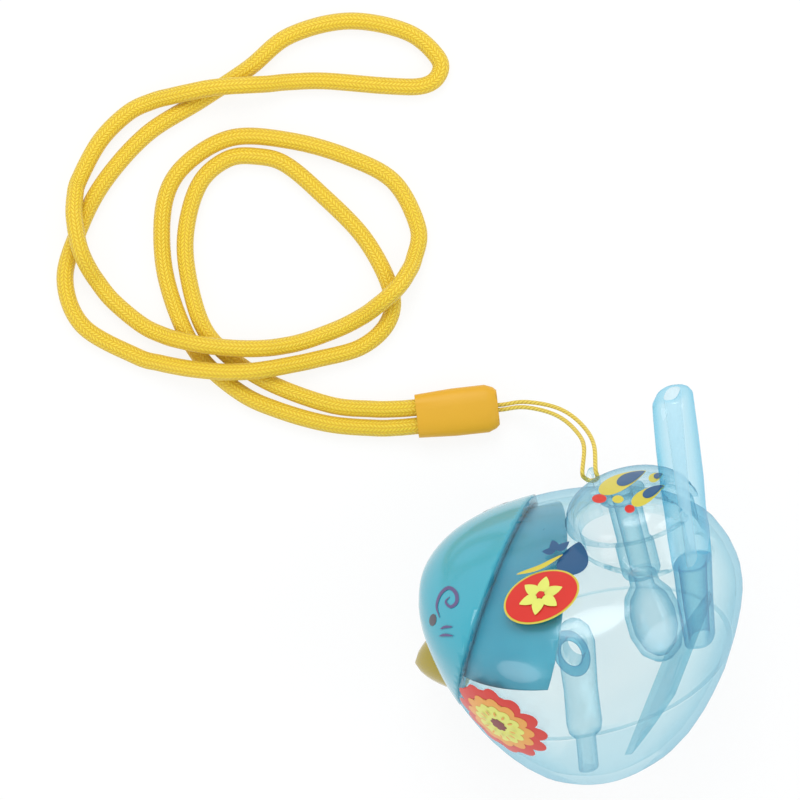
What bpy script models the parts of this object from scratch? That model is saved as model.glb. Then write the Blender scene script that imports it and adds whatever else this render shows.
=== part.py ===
# Bird-shaped water whistle on a neck lanyard, lying as in the photo: the bird on its side, the rope flat.
# Sizes here are in millimetres and are turned into metres by MM where the meshes are made.
import math

import bmesh
import bpy
import numpy as np
from mathutils import Matrix, Vector

MM = 0.001

# The body, read as level sections: height over the seam, middle forward, half length, half width.
SECTIONS = [
    (-24.9, 3.9, 12.2, 12.6),
    (-20.8, 3.2, 18.0, 18.6),
    (-16.6, 2.6, 22.0, 22.7),
    (-12.5, 2.2, 25.0, 25.8),
    (-8.3, 1.8, 27.6, 28.4),
    (-4.2, 1.4, 29.8, 30.6),
    (0.0, 1.1, 31.6, 32.5),
    (4.1, 0.7, 33.2, 34.1),
    (8.2, 0.4, 34.5, 35.5),
    (12.4, 0.1, 35.5, 36.5),
    (16.5, 0.2, 35.9, 36.8),
    (20.7, 0.7, 35.6, 36.2),
    (24.8, 1.2, 34.6, 34.2),
    (29.0, 2.0, 32.0, 29.4),
    (33.1, 2.9, 26.0, 21.0),
    (35.6, 3.8, 18.0, 13.0),
    (37.0, 4.6, 7.5, 5.5),
]
BODY_TOP = 37.3
FOOT_Z = -24.9
AROUND = 44

WALL = 1.5
GAP = 0.3
HALF_GAP = GAP / 2

# The pose of the bird: forward, its own left and its own up as seen in the room.
FORWARD = Vector((-0.9271, -0.0926, -0.3631))
UPWARD = Vector((-0.2484, 0.8774, 0.4104))
# Where the middle of the seam plane lies in the room.
SEAM_MIDDLE = Vector((45.2, -58.9, 30.011))
# The middle of the bird's footprint, which becomes the origin.
FRAME_MIDDLE = Vector((39.993, -41.323, 0.0))

# The head cap meets the body in a flat plane, given by its tilt and its distance along the tilted line.
RIM_TILT = math.radians(25.8)
RIM_AT = 26.5
CAP_PROUD = 0.25
CAP_WALL = 1.9

# The rear lid and the raised collar under it.
LID_X = -16.2
COLLAR_TOP = 36.8
COLLAR_R = 13.9
COLLAR_WALL = 1.6
COLLAR_BORE = COLLAR_R - COLLAR_WALL
# The wall behind the head is a piece of a ball.
BULK_AT = (38.5, 0, 44.7)
BULK_R = 45.0
BULK_WALL = 1.3
LID_R = 14.6
LID_H = 8.0
LID_WALL = 1.4

# The mouthpiece: height, middle forward, half thickness, half width, from its foot inside to its tip.
MOUTH = [
    (24.0, -27.0, 4.3, 4.9),
    (31.0, -27.7, 4.5, 5.0),
    (36.0, -28.2, 4.4, 4.9),
    (44.0, -29.1, 3.9, 4.8),
    (54.0, -30.2, 3.2, 4.7),
    (62.0, -31.1, 2.7, 4.6),
    (65.4, -31.5, 2.5, 4.5),
    (66.5, -31.6, 2.1, 4.1),
    (66.9, -31.65, 1.7, 3.7),
]
SLOT_HALF_T = 0.95
SLOT_HALF_W = 2.9
# The air duct inside, which starts a gap under the mouthpiece.
DUCT_TOP = MOUTH[0][0] - GAP
DUCT = [(4.0, -24.4, 3.3, 4.4), (14.0, -25.6, 3.8, 4.7), (DUCT_TOP, -27.0, 4.2, 4.8)]
DUCT_WALL = 1.1

# The lanyard eye on the far shoulder.
EYE_AT = Vector((-3.0, -16.8, 36.8))
EYE_R = 2.5
EYE_WIRE = 0.85

# The ferrule lies in the room: mouth and far end of its middle line.
FERRULE_MOUTH = Vector((3.9, -3.8, 3.4))
FERRULE_END = Vector((22.9, -1.7, 3.3))
FERRULE_HALF_W = 5.1
FERRULE_HALF_H = 3.3
ROPE_R = 2.0
STRAP_R = 0.5

# The rope's middle line as hand-read points: picture column and row, height over the floor.
PIXEL = 4.266
ROPE = [
    (432, 424.2, 3.4), (412, 426.3, 3.1), (396, 427.6, 2.6), (375, 428, 2.1), (329, 424, 2.0), (281, 411, 2.0), (241, 393, 2.0),
    (201, 358, 2.0), (177, 313, 2.0), (163, 259, 2.0), (165, 200, 2.0), (187, 163, 2.0), (233, 137.5, 2.0),
    (292, 141, 2.0), (348, 157, 2.0), (394, 182, 2.0), (418, 228, 2.0), (414, 259, 2.3), (407, 274, 4.6),
    (399, 286, 6.3), (388, 297, 6.5), (377, 306, 5.4), (363, 316, 3.2), (340, 328, 2.1), (305, 341, 2.3),
    (280, 346.5, 3.8), (260, 348.5, 5.6), (240, 348.5, 6.3), (219, 347, 6.5), (200, 344.5, 6.5), (183, 341, 5.5),
    (165, 336, 3.4), (142, 325, 2.1), (113, 301, 2.1), (97, 281, 2.6), (88, 267, 4.6), (81, 252, 6.2),
    (77, 237, 6.5), (74, 214, 6.0), (75, 196, 4.2), (79, 180, 2.3), (100, 141, 2.0), (128, 113, 2.0),
    (153, 101, 2.4), (172, 96, 4.2), (190, 92, 6.0), (210, 88, 6.5), (230, 86, 6.5), (248, 85, 6.1),
    (268, 84, 4.1), (288, 82, 2.3), (325, 81, 2.0), (388, 86, 2.0), (422, 86, 2.0), (438, 76, 2.0),
    (438, 58, 2.0), (407, 32, 2.0), (348, 21, 2.0), (289, 36, 2.0), (249, 68, 2.0), (201, 100, 2.0),
    (147, 134, 2.0), (104, 182, 2.0), (79, 230, 2.0), (65, 280, 2.0), (83, 326, 2.0), (136, 356, 2.1),
    (160, 363, 3.2), (185, 368, 5.3), (205, 370.5, 6.4), (225, 372, 6.5), (247, 371.5, 6.5), (268, 369, 5.7),
    (290, 365, 3.7), (316, 359.5, 2.2), (361, 347, 2.0), (388, 322, 2.0), (390.5, 289, 2.0), (364, 238, 2.0),
    (319, 192, 2.0), (285, 164, 2.0), (258, 156.5, 2.0), (229, 158.5, 2.0), (202, 180, 2.0), (188, 218, 2.0),
    (186, 262, 2.0), (200, 320, 2.0), (224, 352, 2.0), (268, 382, 2.0), (329, 404.5, 2.0), (372, 409, 2.1),
    (396, 409.0, 2.6), (412, 407.9, 3.1), (432, 405.8, 3.4),
]
ROPE_POINTS = 80
# How much closer the points lie where a cord bends, as millimetres of length for each radian.
BEND_WEIGHT = 12.0

# The strap's two strands as hand-read points: picture column and row, height over the floor.
STRAP_A = [
    (492, 410.3, 3.3), (503, 409.6, 3.4), (522, 407, 5.5), (545, 411, 9.5), (562, 418.5, 14.5), (576, 431, 20.5),
    (586, 446, 26.0), (593, 462, 30.0),
]
STRAP_B = [
    (601, 462, 31.0), (594, 444, 27.0), (583, 426, 20.5), (567, 412.5, 14.5), (547, 404.8, 9.0),
    (522, 401.8, 5.2), (503, 404.7, 3.4), (492, 405.2, 3.3),
]
CAMERA_HEIGHT = 783.0

COLOURS = {
    "upper_shell": (0.55, 0.82, 0.90, 0.35),
    "lower_shell": (0.55, 0.82, 0.90, 0.35),
    "head_cap": (0.16, 0.52, 0.66, 1.0),
    "front_bulkhead": (0.14, 0.50, 0.66, 0.6),
    "beak": (0.48, 0.38, 0.02, 1.0),
    "back_lid": (0.55, 0.84, 0.92, 0.35),
    "filler_tube": (0.45, 0.76, 0.88, 0.35),
    "warble_bulb": (0.50, 0.80, 0.90, 0.35),
    "mouthpiece": (0.45, 0.78, 0.90, 0.35),
    "air_duct": (0.35, 0.70, 0.86, 0.35),
    "whistle_tube": (0.35, 0.70, 0.84, 0.35),
    "baffle": (0.55, 0.80, 0.88, 0.35),
    "strap_cord": (0.80, 0.62, 0.10, 1.0),
    "ferrule": (0.84, 0.45, 0.06, 1.0),
    "lanyard_rope": (0.95, 0.70, 0.03, 1.0),
}


def smooth_table(rows, steps):
    """Reads a table along a smooth curve through its rows, with the given number of steps between rows."""
    pts = np.array(rows, float)
    ext = np.vstack([2 * pts[0] - pts[1], pts, 2 * pts[-1] - pts[-2]])
    out = []
    for i in range(1, len(pts)):
        p0, p1, p2, p3 = ext[i - 1], ext[i], ext[i + 1], ext[i + 2]
        for k in range(steps):
            t = k / steps
            out.append(
                0.5 * (2 * p1 + (p2 - p0) * t + (2 * p0 - 5 * p1 + 4 * p2 - p3) * t * t
                       + (3 * p1 - p0 - 3 * p2 + p3) * t ** 3)
            )
    out.append(pts[-1])
    return np.array(out)


BODY = smooth_table(SECTIONS, 6)


def section(z):
    """Middle forward, half length and half width of the body at one height."""
    return [float(np.interp(z, BODY[:, 0], BODY[:, i])) for i in (1, 2, 3)]


def body_ring(bm, z, off):
    mid, a, b = section(z)
    span = BODY_TOP if z > 0 else -FOOT_Z
    level = z * (span + off) / span
    ring = []
    for k in range(AROUND):
        ang = 2 * math.pi * k / AROUND
        ring.append(bm.verts.new(((mid + (a + off) * math.cos(ang)) * MM, (b + off) * math.sin(ang) * MM, level * MM)))
    return ring


def join_rings(bm, one, two):
    n = len(one)
    for k in range(n):
        bm.faces.new((one[k], one[(k + 1) % n], two[(k + 1) % n], two[k]))


def close_ring(bm, ring, at=None):
    if at is None:
        bm.faces.new(ring)
        return
    tip = bm.verts.new(at)
    n = len(ring)
    for k in range(n):
        bm.faces.new((ring[k], ring[(k + 1) % n], tip))


def finish(bm, name, smooth=True):
    bmesh.ops.recalc_face_normals(bm, faces=bm.faces)
    mesh = bpy.data.meshes.new(name)
    bm.to_mesh(mesh)
    bm.free()
    if smooth:
        for p in mesh.polygons:
            p.use_smooth = True
    obj = bpy.data.objects.new(name, mesh)
    bpy.context.scene.collection.objects.link(obj)
    return obj


UPPER_LEVELS = [4.1, 8.2, 12.4, 16.5, 20.7, 24.8, 28.0, 31.0, 33.4, 35.2, 36.4]
LOWER_LEVELS = [-4.2, -8.3, -12.5, -16.6, -20.0, -23.0, -24.9]


def half_shell(name, first, levels, off, wall, top):
    """A bowl of even wall: outer rings from the seam to the end, then inner rings back to the seam."""
    bm = bmesh.new()
    outer = [body_ring(bm, z, off) for z in [first] + levels]
    inner = [body_ring(bm, z, off - wall) for z in [first] + levels]
    for v in inner[0]:
        v.co.z = first * MM
    for v in outer[0]:
        v.co.z = first * MM
    for k in range(len(outer) - 1):
        join_rings(bm, outer[k], outer[k + 1])
        join_rings(bm, inner[k + 1], inner[k])
    join_rings(bm, inner[0], outer[0])
    if top:
        close_ring(bm, outer[-1], (5.0 * MM, 0, (BODY_TOP + off) * MM))
        close_ring(bm, inner[-1], (5.0 * MM, 0, (BODY_TOP + off - wall) * MM))
    else:
        close_ring(bm, outer[-1])
        close_ring(bm, inner[-1])
    return finish(bm, name)


def body_solid(name, off):
    """The whole body as one solid, grown or shrunk by off."""
    bm = bmesh.new()
    rings = [body_ring(bm, z, off) for z in LOWER_LEVELS[::-1] + [0.0] + UPPER_LEVELS]
    for k in range(len(rings) - 1):
        join_rings(bm, rings[k], rings[k + 1])
    close_ring(bm, rings[0])
    close_ring(bm, rings[-1], (5.0 * MM, 0, (BODY_TOP + off) * MM))
    return cutter(finish(bm, name))


def cutter(obj):
    obj.hide_render = True
    obj.display_type = "WIRE"
    return obj


def box(name, low, high, turn=0.0):
    """A plain box from low to high, turned about the sideways axis."""
    bm = bmesh.new()
    bmesh.ops.create_cube(bm, size=1.0)
    for v in bm.verts:
        v.co = Vector([(low[i] + (high[i] - low[i]) * (v.co[i] + 0.5)) * MM for i in range(3)])
    bmesh.ops.rotate(bm, verts=bm.verts, cent=(0, 0, 0), matrix=Matrix.Rotation(turn, 3, "Y"))
    return cutter(finish(bm, name, smooth=False))


def lathe(name, profile, centre, steps=32, closed=True):
    """A turned piece about an upright line: profile of radius and height, radius 0 closes an end."""
    bm = bmesh.new()
    rings = []
    for r, z in profile:
        if r == 0:
            rings.append(bm.verts.new(((centre[0]) * MM, centre[1] * MM, z * MM)))
            continue
        ring = []
        for k in range(steps):
            ang = 2 * math.pi * k / steps
            x = centre[0] + r * math.cos(ang)
            ring.append(bm.verts.new((x * MM, (centre[1] + r * math.sin(ang)) * MM, z * MM)))
        rings.append(ring)
    pairs = list(zip(rings, rings[1:]))
    if closed:
        pairs.append((rings[-1], rings[0]))
    for one, two in pairs:
        if isinstance(one, list) and isinstance(two, list):
            join_rings(bm, one, two)
        elif isinstance(one, list):
            for k in range(steps):
                bm.faces.new((one[k], one[(k + 1) % steps], two))
        elif isinstance(two, list):
            for k in range(steps):
                bm.faces.new((two[(k + 1) % steps], two[k], one))
    return finish(bm, name)


def loft(name, rows, power=2.6, steps=24, bore=None, hide=False, grow=0.0):
    """An upright loft of rounded sections: height, middle forward, half thickness, half width, side offset."""
    bm = bmesh.new()

    def ring(row, shrink):
        side = row[4] if len(row) > 4 else 0.0
        a, b = shrink(row)
        out = []
        for k in range(steps):
            ang = 2 * math.pi * (k + 0.5) / steps
            c, s = math.cos(ang), math.sin(ang)
            x = row[1] + a * math.copysign(abs(c) ** (2 / power), c)
            y = side + b * math.copysign(abs(s) ** (2 / power), s)
            out.append(bm.verts.new((x * MM, y * MM, row[0] * MM)))
        return out

    outer = [ring(r, lambda q: (q[2] + grow, q[3] + grow)) for r in rows]
    for one, two in zip(outer, outer[1:]):
        join_rings(bm, one, two)
    if bore:
        inner = [ring(r, bore) for r in rows]
        for one, two in zip(inner, inner[1:]):
            join_rings(bm, two, one)
        join_rings(bm, inner[0], outer[0])
        join_rings(bm, outer[-1], inner[-1])
    else:
        close_ring(bm, outer[0])
        close_ring(bm, outer[-1])
    obj = finish(bm, name)
    return cutter(obj) if hide else obj


def cut(obj, other, operation="DIFFERENCE"):
    mod = obj.modifiers.new(operation.lower() + "_" + other.name, "BOOLEAN")
    mod.operation = operation
    mod.solver = "EXACT"
    mod.object = other


def catmull(points, count):
    """Points along a smooth curve through the given ones, closer together where it bends."""
    dense = smooth_table([tuple(p) for p in points], 12)
    step = np.diff(dense, axis=0)
    seg = np.linalg.norm(step, axis=1)
    way = step / seg[:, None]
    bend = np.linalg.norm(np.diff(way, axis=0, append=way[-1:]), axis=1)
    run = np.concatenate([[0], np.cumsum(seg + BEND_WEIGHT * bend)])
    at = np.linspace(0, run[-1], count)
    return [Vector([float(np.interp(s, run, dense[:, i])) for i in range(3)]) for s in at]


def tube(name, points, radius, resolution):
    curve = bpy.data.curves.new(name, "CURVE")
    curve.dimensions = "3D"
    curve.bevel_depth = radius * MM
    curve.bevel_resolution = resolution
    curve.use_fill_caps = True
    spline = curve.splines.new("POLY")
    spline.points.add(len(points) - 1)
    for p, q in zip(spline.points, points):
        p.co = (q[0] * MM, q[1] * MM, q[2] * MM, 1)
    obj = bpy.data.objects.new(name, curve)
    bpy.context.scene.collection.objects.link(obj)
    return obj


def material(obj):
    mat = bpy.data.materials.new(obj.name)
    mat.use_nodes = True
    bsdf = mat.node_tree.nodes["Principled BSDF"]
    colour = COLOURS[obj.name]
    bsdf.inputs["Base Color"].default_value = (colour[0], colour[1], colour[2], 1)
    bsdf.inputs["Roughness"].default_value = 0.15 if colour[3] < 1 else 0.4
    bsdf.inputs["Alpha"].default_value = colour[3]
    obj.data.materials.append(mat)


def from_picture(col, row, height):
    """A point in the room from where it is seen in the picture and its height."""
    scale = CAMERA_HEIGHT / (CAMERA_HEIGHT - height) * 800 / 188.0
    return Vector(((col - 400) / scale, (400 - row) / scale, height))


def build():
    for obj in list(bpy.data.objects):
        bpy.data.objects.remove(obj, do_unlink=True)

    root = bpy.data.objects.new("root", None)
    bird = bpy.data.objects.new("bird", None)
    lanyard = bpy.data.objects.new("lanyard", None)
    for empty in (root, bird, lanyard):
        bpy.context.scene.collection.objects.link(empty)
    bird.parent = root
    lanyard.parent = root

    up = (UPWARD - FORWARD.normalized() * UPWARD.dot(FORWARD.normalized())).normalized()
    fwd = FORWARD.normalized()
    left = up.cross(fwd)
    turn = Matrix((fwd, left, up)).transposed()
    place = Matrix.Translation((SEAM_MIDDLE - FRAME_MIDDLE) * MM) @ turn.to_4x4()
    bird.matrix_local = place
    lanyard.location = -FRAME_MIDDLE * MM

    # The plane of the head cap's rim, as two boxes: all that is in front of it, with half a gap each side.
    def front_box(name, start):
        return box(name, (start, -60, -60), (start + 90, 60, 60), -RIM_TILT)

    upper = half_shell("upper_shell", HALF_GAP, UPPER_LEVELS, 0.0, WALL, True)
    collar = cutter(lathe("collar_add", [(0, 27.5), (COLLAR_R, 27.5), (COLLAR_R, COLLAR_TOP), (0, COLLAR_TOP)],
                          (LID_X, 0), 36, closed=False))
    collar_bore = cutter(lathe("collar_bore", [(0, 20), (COLLAR_BORE, 20), (COLLAR_BORE, 45), (0, 45)],
                               (LID_X, 0), 36, closed=False))
    collar_keep = body_solid("collar_keep", -WALL - 1.2)
    cut(collar, collar_keep)
    cut(upper, collar, "UNION")
    cut(upper, collar_bore)
    mouth_room = loft("mouth_room", [(20.0, -26.6, 4.3, 4.9)] + MOUTH[1:5], hide=True, grow=GAP)
    cut(upper, mouth_room)
    eye_ring = bmesh.new()
    major, minor = 20, 10
    grid = []
    for i in range(major):
        a = 2 * math.pi * i / major
        ring = []
        for j in range(minor):
            b = 2 * math.pi * j / minor
            r = EYE_R + EYE_WIRE * math.cos(b)
            p = EYE_AT + Vector((EYE_WIRE * math.sin(b), r * math.cos(a), r * math.sin(a)))
            ring.append(eye_ring.verts.new(p * MM))
        grid.append(ring)
    for i in range(major):
        join_rings(eye_ring, grid[i], grid[(i + 1) % major])
    eye = cutter(finish(eye_ring, "eye_add"))
    eye_keep = body_solid("eye_keep", -0.8)
    cut(eye, eye_keep)
    cut(upper, eye, "UNION")
    cut(upper, front_box("rim_behind", RIM_AT - HALF_GAP))

    lower = half_shell("lower_shell", -HALF_GAP, LOWER_LEVELS, 0.0, WALL, False)

    cap = half_shell("head_cap", HALF_GAP, UPPER_LEVELS, CAP_PROUD, CAP_WALL, True)
    cut(cap, front_box("rim_front", RIM_AT + HALF_GAP), "INTERSECT")

    inside = body_solid("inside", -CAP_WALL - GAP + 0.1)
    bulk = cutter(ball("bulk_hollow", BULK_AT, BULK_R - BULK_WALL))
    bulkhead = ball("front_bulkhead", BULK_AT, BULK_R)
    cut(bulkhead, bulk)
    cut(bulkhead, inside, "INTERSECT")
    cut(bulkhead, box("above_seam", (-40, -50, 0.6), (27.0, 50, 60)), "INTERSECT")

    collar_room = lathe("collar_room", [(0, 20), (COLLAR_R + GAP, 20), (COLLAR_R + GAP, 45), (0, 45)],
                        (LID_X, 0), 36, closed=False)
    cut(bulkhead, cutter(collar_room))

    outside = body_solid("outside", CAP_PROUD + GAP)
    beak_rows = []
    for t in np.linspace(0, 1, 9):
        r = (1 - t ** 2.3) ** 0.62
        beak_rows.append((t, max(r, 0.06)))
    bm = bmesh.new()
    rings = []
    for t, r in beak_rows:
        x = 31.5 + 12.6 * t
        drop = 4.4 - 1.6 * t * t
        ring = []
        for k in range(24):
            ang = 2 * math.pi * k / 24
            ring.append(bm.verts.new((x * MM, 5.2 * r * math.cos(ang) * MM, (drop + 6.0 * r * math.sin(ang)) * MM)))
        rings.append(ring)
    for one, two in zip(rings, rings[1:]):
        join_rings(bm, one, two)
    close_ring(bm, rings[0])
    close_ring(bm, rings[-1])
    beak = finish(bm, "beak")
    cut(beak, outside)

    seat = COLLAR_TOP + GAP
    top = seat + LID_H
    profile = [(LID_R + 0.35, seat), (LID_R + 0.35, seat + 1.0), (LID_R - 0.1, seat + 1.3)]
    for t in np.linspace(0.12, 1, 8):
        ang = t * math.pi / 2
        profile.append((max((LID_R - 0.1) * math.cos(ang) ** 0.8, 0), seat + 1.3 + (LID_H - 1.3) * math.sin(ang)))
    profile[-1] = (0, top)
    inner = []
    for r, z in profile[2:-1]:
        inner.append((max(r - LID_WALL, 0.6), seat + (z - seat) * (LID_H - LID_WALL) / LID_H))
    inner = [(0, top - LID_WALL)] + inner[::-1] + [(LID_R - 0.1 - LID_WALL, seat)]
    lid = lathe("back_lid", profile + inner, (LID_X, 0), 36)
    cut(lid, mouth_room)

    tube_top = top - LID_WALL - GAP - 0.5
    filler = lathe("filler_tube", [(2.4, 22.0), (4.1, 22.0), (4.4, 22.8), (4.4, 29.6), (3.7, 30.4), (3.7, tube_top - 1.6),
                                   (5.2, tube_top - 1.4), (5.2, tube_top), (2.4, tube_top)], (LID_X + 1.2, 0), 24)
    bulb_top = 22.0 - GAP
    bulb = lathe("warble_bulb", [(2.0, bulb_top), (3.2, bulb_top), (3.4, 19.0), (5.4, 16.0), (6.3, 12.0), (6.2, 7.0),
                                 (4.8, 2.5), (2.6, 0.2), (0, -0.4), (0, 0.8), (1.9, 1.3), (3.7, 3.3), (5.0, 7.4),
                                 (5.1, 11.8), (4.3, 15.2), (2.2, 18.4)], (LID_X + 1.2, 0), 24, closed=True)

    mouthpiece = loft("mouthpiece", MOUTH, bore=lambda q: (min(SLOT_HALF_T, q[2] - 0.8), min(SLOT_HALF_W, q[3] - 0.9)))
    duct = loft("air_duct", DUCT, bore=lambda q: (q[2] - DUCT_WALL, q[3] - DUCT_WALL))

    floor = FOOT_Z + WALL + GAP
    whistle = loft("whistle_tube", [(floor, 6.2, 2.3, 2.3, 8), (-14.6, 4.9, 2.3, 2.3, 8), (-13.2, 4.7, 3.8, 2.6, 8),
                                    (-11.0, 4.4, 4.2, 2.7, 8), (-2.0, 3.1, 4.0, 2.5, 8), (5.0, 2.1, 4.3, 2.3, 8),
                                    (10.0, 1.5, 4.6, 2.3, 8), (13.6, 1.2, 3.8, 2.2, 8), (15.2, 1.1, 2.2, 1.8, 8),
                                    (15.7, 1.1, 1.0, 1.2, 8)], power=2.2)
    window = loft("window", [(-3, 0, 2.3, 3.6), (20, 0, 2.3, 3.6)], power=2.0, steps=20, hide=True)
    window.rotation_euler = (math.radians(-90), 0, 0)
    window.location = (1.7 * MM, 0, 9.0 * MM)
    cut(whistle, window)

    ramp = box("baffle", (-0.7, -40, -12.5), (0.7, 40, 8.0), 0.0)
    ramp.hide_render = False
    ramp.display_type = "TEXTURED"
    ramp.rotation_euler = (0, math.radians(-42), 0)
    ramp.location = (-17.0 * MM, 0, -3.0 * MM)
    cut(ramp, body_solid("ramp_room", -WALL - GAP), "INTERSECT")

    route = [from_picture(*p) for p in ROPE]
    rope = tube("lanyard_rope", catmull([tuple(p) for p in route], ROPE_POINTS), ROPE_R, 3)

    lug = (place @ (EYE_AT * MM)) / MM + FRAME_MIDDLE
    side = turn @ Vector((1, 0, 0))
    lift = turn @ Vector((0, 0.3, 0.75))
    loop = [(2.7, 4.0), (2.3, 2.4), (1.6, 1.1), (0.8, 0.4), (0.0, 0.2), (-0.8, 0.4), (-1.6, 1.1), (-2.3, 2.4), (-2.7, 4.0)]
    around = [lug + side * across + lift * high for across, high in loop]
    line = [from_picture(*p) for p in STRAP_A] + around + [from_picture(*p) for p in STRAP_B]
    strap = tube("strap_cord", catmull([tuple(p) for p in line], 80), STRAP_R, 2)

    axis = (FERRULE_END - FERRULE_MOUTH)
    length = axis.length
    w, h = FERRULE_HALF_W, FERRULE_HALF_H
    ferrule = loft("ferrule", [(0, 0, h, w), (length * 0.45, 0, h, w * 0.86), (length * 0.86, 0, h * 0.97, w * 0.72),
                               (length - 0.8, 0, h * 0.8, w * 0.6), (length, 0, h * 0.66, w * 0.5)], power=3.0)
    hollow = loft("ferrule_hollow", [(-2, 0, h - 0.75, w - 0.45), (length * 0.42, 0, h - 0.75, w * 0.86 - 0.5),
                                     (length * 0.6, 0, h - 1.0, w * 0.72 - 0.6)], power=3.0, hide=True)
    exit_hole = loft("ferrule_exit", [(length * 0.5, 0, 0.85, 1.55), (length + 2, 0, 0.85, 1.55)], steps=16, hide=True)
    cut(ferrule, hollow)
    cut(ferrule, exit_hole)
    spin = Matrix((Vector((0, 0, 1)), Vector((0, 0, 1)).cross(-axis.normalized()).normalized(), axis.normalized()))
    spin = spin.transposed()
    spin.col[0] = spin.col[1].cross(spin.col[2])
    for obj in (ferrule, hollow, exit_hole):
        obj.parent = lanyard
        obj.matrix_local = Matrix.Translation(FERRULE_MOUTH * MM) @ spin.to_4x4()
    rope.parent = lanyard
    strap.parent = lanyard

    nodes = [upper, lower, cap, bulkhead, beak, lid, filler, bulb, mouthpiece, duct, whistle, ramp, strap, ferrule, rope]
    for obj in nodes:
        material(obj)
    for obj in list(bpy.data.objects):
        if obj.parent is None and obj is not root:
            obj.parent = bird
    bpy.context.view_layer.update()


def ball(name, centre, radius):
    bm = bmesh.new()
    bmesh.ops.create_uvsphere(bm, u_segments=48, v_segments=28, radius=radius * MM)
    bmesh.ops.rotate(bm, verts=bm.verts, cent=(0, 0, 0), matrix=Matrix.Rotation(math.radians(52), 3, "Y"))
    bmesh.ops.translate(bm, verts=bm.verts, vec=Vector(centre) * MM)
    return finish(bm, name)


build()
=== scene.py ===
# Bird-shaped water whistle of clear blue plastic on a braided neck lanyard.
import math

import bmesh
import bpy
from mathutils import Matrix, Vector
from mathutils.bvhtree import BVHTree


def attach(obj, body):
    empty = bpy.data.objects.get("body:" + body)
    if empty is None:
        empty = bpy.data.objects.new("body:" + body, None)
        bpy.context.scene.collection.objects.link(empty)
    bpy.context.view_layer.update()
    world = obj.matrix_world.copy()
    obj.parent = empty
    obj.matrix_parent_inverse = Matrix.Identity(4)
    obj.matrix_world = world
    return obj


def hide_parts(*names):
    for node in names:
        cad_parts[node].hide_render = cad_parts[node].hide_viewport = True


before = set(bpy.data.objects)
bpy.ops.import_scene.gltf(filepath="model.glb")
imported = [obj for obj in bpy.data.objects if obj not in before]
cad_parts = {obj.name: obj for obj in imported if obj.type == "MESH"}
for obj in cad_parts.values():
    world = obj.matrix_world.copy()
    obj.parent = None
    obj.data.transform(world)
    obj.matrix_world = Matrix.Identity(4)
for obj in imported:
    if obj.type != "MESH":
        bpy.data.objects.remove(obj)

bl_info = {
    "name": "Bird Whistle",
    "version": (1, 0, 0),
    "blender": (4, 5, 0),
    "location": "View3D > Sidebar > Whistle",
    "description": "Dresses the packed bird whistle: clear body, prints, braided lanyard, floor and light",
    "category": "Object",
}

MM = 0.001

# The photo is square, PHOTO pixels wide, taken straight down; at floor level it shows PHOTO_WIDE millimetres.
PHOTO = 800
PHOTO_WIDE = 188.0
LENS = 150.0
SENSOR = 36.0
CAMERA_UP = PHOTO_WIDE * LENS / SENSOR
FRAME_MIDDLE = Vector((39.993, -41.323, 0.0))

# The bird's own axes and the middle of its seam, as in the part.
FORWARD = Vector((-0.9271, -0.0926, -0.3631)).normalized()
UPWARD = Vector((-0.2484, 0.8774, 0.4104))
UPWARD = (UPWARD - FORWARD * UPWARD.dot(FORWARD)).normalized()
LEFT = UPWARD.cross(FORWARD)
SEAM_MIDDLE = (Vector((45.2, -58.9, 30.011)) - FRAME_MIDDLE) * MM
BIRD = Matrix.Translation(SEAM_MIDDLE) @ Matrix((FORWARD, LEFT, UPWARD)).transposed().to_4x4()
EYE_AT = Vector((-3.0, -16.8, 36.8))

# The body as level sections, as in the part, in mm: height over the seam, middle forward, half length and
# half width.
SECTIONS = [
    (-24.9, 3.9, 12.2, 12.6), (-20.8, 3.2, 18.0, 18.6), (-16.6, 2.6, 22.0, 22.7),
    (-12.5, 2.2, 25.0, 25.8), (-8.3, 1.8, 27.6, 28.4), (-4.2, 1.4, 29.8, 30.6), (0.0, 1.1, 31.6, 32.5),
    (4.1, 0.7, 33.2, 34.1), (8.2, 0.4, 34.5, 35.5), (12.4, 0.1, 35.5, 36.5), (16.5, 0.2, 35.9, 36.8),
    (20.7, 0.7, 35.6, 36.2), (24.8, 1.2, 34.6, 34.2), (29.0, 2.0, 32.0, 29.4), (33.1, 2.9, 26.0, 21.0),
    (35.6, 3.8, 18.0, 13.0), (37.0, 4.6, 7.5, 5.5), (37.3, 4.9, 0.0, 0.0),
]
BODY_TOP = 37.3
FOOT = -24.9
SHELL_MIDDLE = Vector((1.0, 0.0, 8.0))
LID_MIDDLE = Vector((-16.2, 0.0, 37.5))
# The mouthpiece leans back: its middle at a height over the seam, and how far back it goes for each mm up.
MOUTHPIECE_AT = (-27.0, 24.0)
MOUTHPIECE_LEAN = 0.1085
# Both ends of the sleeve between rope and strap, in mm before the move to the row frame.
SLEEVE_ENDS = (Vector((3.9, -3.8, 3.4)), Vector((22.9, -1.7, 3.3)))

# The head cap over the body, and the blue chamber wall behind it, in mm. The cuts through them are given as
# a tilt in degrees and a distance. The chamber's rear cut also slants to one side.
SEAM_GAP = 0.15
CAP_PROUD = 0.25
CAP_WALL = 1.9
RIM = (25.8, 26.5)
RIM_GAP = 0.4
CHAMBER_INSET = 2.1
CHAMBER_WALL = 1.0
CHAMBER_BACK = (26.0, 14.5)
CHAMBER_SLANT = 0.247
CHAMBER_FLOOR = 14.5

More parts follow.
